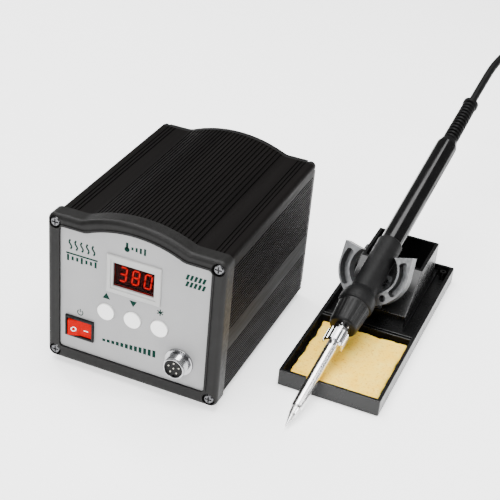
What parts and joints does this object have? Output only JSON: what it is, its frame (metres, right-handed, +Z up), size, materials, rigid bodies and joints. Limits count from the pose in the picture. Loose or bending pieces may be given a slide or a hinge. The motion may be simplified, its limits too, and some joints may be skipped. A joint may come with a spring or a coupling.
{
  "type": "soldering iron station",
  "caption": "Bench soldering station: a control unit with a display and buttons, a stand with a cradle and sponge, and a corded iron resting in the cradle.",
  "frame": {"origin": "on the bench, under the middle of the control unit", "axes": "+X to the right as the user faces the display, +Y away from the user, +Z up"},
  "size_m": [0.3212, 0.4657, 0.1308],
  "materials": {
    "case_black": "black satin anodised extrusion",
    "bezel_black": "fine grained moulding",
    "panel_silver": "satin silver",
    "rear_panel_black": "satin powder coat",
    "screw_chrome": "polished",
    "plain_steel": "zinc plated",
    "foot_rubber": "matte",
    "frame_grey": "satin",
    "display_glass": "red tinted filter",
    "module_black": "black face",
    "digit_lit": "lit red",
    "board_green": "solder mask",
    "brass_post": "machined",
    "switch_black": "satin",
    "button_white": "satin",
    "rocker_red": "translucent red",
    "socket_chrome": "polished",
    "insulator_black": "satin",
    "contact_gold": "gold plated",
    "fuse_glass": "clear tube with metal ends",
    "core_steel": "stacked sheets",
    "coil_tape": "yellow tape",
    "heatsink_black": "anodised",
    "capacitor_sleeve": "shrink sleeve",
    "tray_black": "satin moulding",
    "cradle_grey": "cast, satin",
    "sponge_yellow": "open cells",
    "tip_plated": "plated, slightly heat stained",
    "barrel_steel": "stainless tube",
    "nut_chrome": "polished",
    "ceramic_white": "fired",
    "nose_black": "heat resistant moulding",
    "grip_rubber": "matte",
    "handle_black": "polished",
    "boot_rubber": "satin",
    "cord_black": "satin jacket",
    "plug_chrome": "satin nickel",
    "print_green": "printed ink",
    "print_white": "printed ink"
  },
  "bodies": {
    "station": {"case_shell": "case_black", "front_bezel": "bezel_black", "front_panel": "panel_silver", "rear_bezel": "bezel_black", "rear_panel": "rear_panel_black", "case_screws": "screw_chrome", "rubber_feet": "foot_rubber", "foot_screws": "plain_steel", "display_frame": "frame_grey", "display_window": "display_glass", "display_module": "module_black", "digit_segments": "digit_lit", "display_board": "board_green", "board_posts": "brass_post", "tact_switches": "switch_black", "switch_housing": "switch_black", "socket_shell": "socket_chrome", "socket_insert": "insulator_black", "socket_pins": "contact_gold", "socket_nut": "plain_steel", "mains_inlet": "insulator_black", "inlet_pins": "contact_gold", "fuse_holder": "insulator_black", "ground_jack": "brass_post", "shelf_plate": "plain_steel", "transformer_core": "core_steel", "transformer_coil": "coil_tape", "transformer_strap": "plain_steel", "strap_screws": "plain_steel", "main_board": "board_green", "heatsink": "heatsink_black", "power_devices": "insulator_black", "capacitors": "capacitor_sleeve", "stand_tray": "tray_black", "stand_pads": "foot_rubber", "holder_box": "tray_black", "cradle": "cradle_grey", "cradle_screws": "screw_chrome", "sponge": "sponge_yellow", "cord_coil": "cord_black", "cord_tail": "cord_black", "plug_shell": "plug_chrome", "plug_insert": "insulator_black"},
    "iron": {"tip": "tip_plated", "barrel": "barrel_steel", "heater": "ceramic_white", "heater_collar": "nut_chrome", "nose": "nose_black", "grip": "grip_rubber", "handle": "handle_black", "boot": "boot_rubber", "iron_cord": "cord_black"},
    "barrel_nut": {"barrel_nut": "nut_chrome"},
    "power_rocker": {"power_rocker": "rocker_red"},
    "button_up": {"button_up": "button_white"},
    "button_down": {"button_down": "button_white"},
    "button_set": {"button_set": "button_white"},
    "plug_ring": {"plug_ring": "plug_chrome"},
    "fuse_cap": {"fuse_cap": "switch_black", "fuse": "fuse_glass"}
  },
  "joints": [
    {"name": "iron_lift", "type": "slide", "parent": "station", "child": "iron", "axis": [-0.0222, -0.3182, 0.9478], "range_m": [0, 0.06]},
    {"name": "barrel_nut_turn", "type": "hinge", "parent": "iron", "child": "barrel_nut", "pos_m": [0.10909, -0.00004, 0.0262], "axis": [0.0661, 0.9455, 0.319], "continuous": true},
    {"name": "power_switch", "type": "hinge", "parent": "station", "child": "power_rocker", "pos_m": [-0.0367, -0.0745, 0.032], "axis": [0, 0, -1], "range_deg": [0, 22]},
    {"name": "button_up_press", "type": "slide", "parent": "station", "child": "button_up", "axis": [0, 1, 0], "range_m": [0, 0.0005], "stiffness_N_per_m": 800, "springref_m": -0.0005},
    {"name": "button_down_press", "type": "slide", "parent": "station", "child": "button_down", "axis": [0, 1, 0], "range_m": [0, 0.0005], "stiffness_N_per_m": 800, "springref_m": -0.0005},
    {"name": "button_set_press", "type": "slide", "parent": "station", "child": "button_set", "axis": [0, 1, 0], "range_m": [0, 0.0005], "stiffness_N_per_m": 800, "springref_m": -0.0005},
    {"name": "plug_ring_turn", "type": "hinge", "parent": "station", "child": "plug_ring", "pos_m": [0.2505, 0.239, 0.0086], "axis": [0.0854, -0.9963, -0.0114], "continuous": true},
    {"name": "fuse_cap_turn", "type": "hinge", "parent": "station", "child": "fuse_cap", "pos_m": [-0.008, 0.08, 0.036], "axis": [0, 1, 0], "range_deg": [0, 90]}
  ]
}
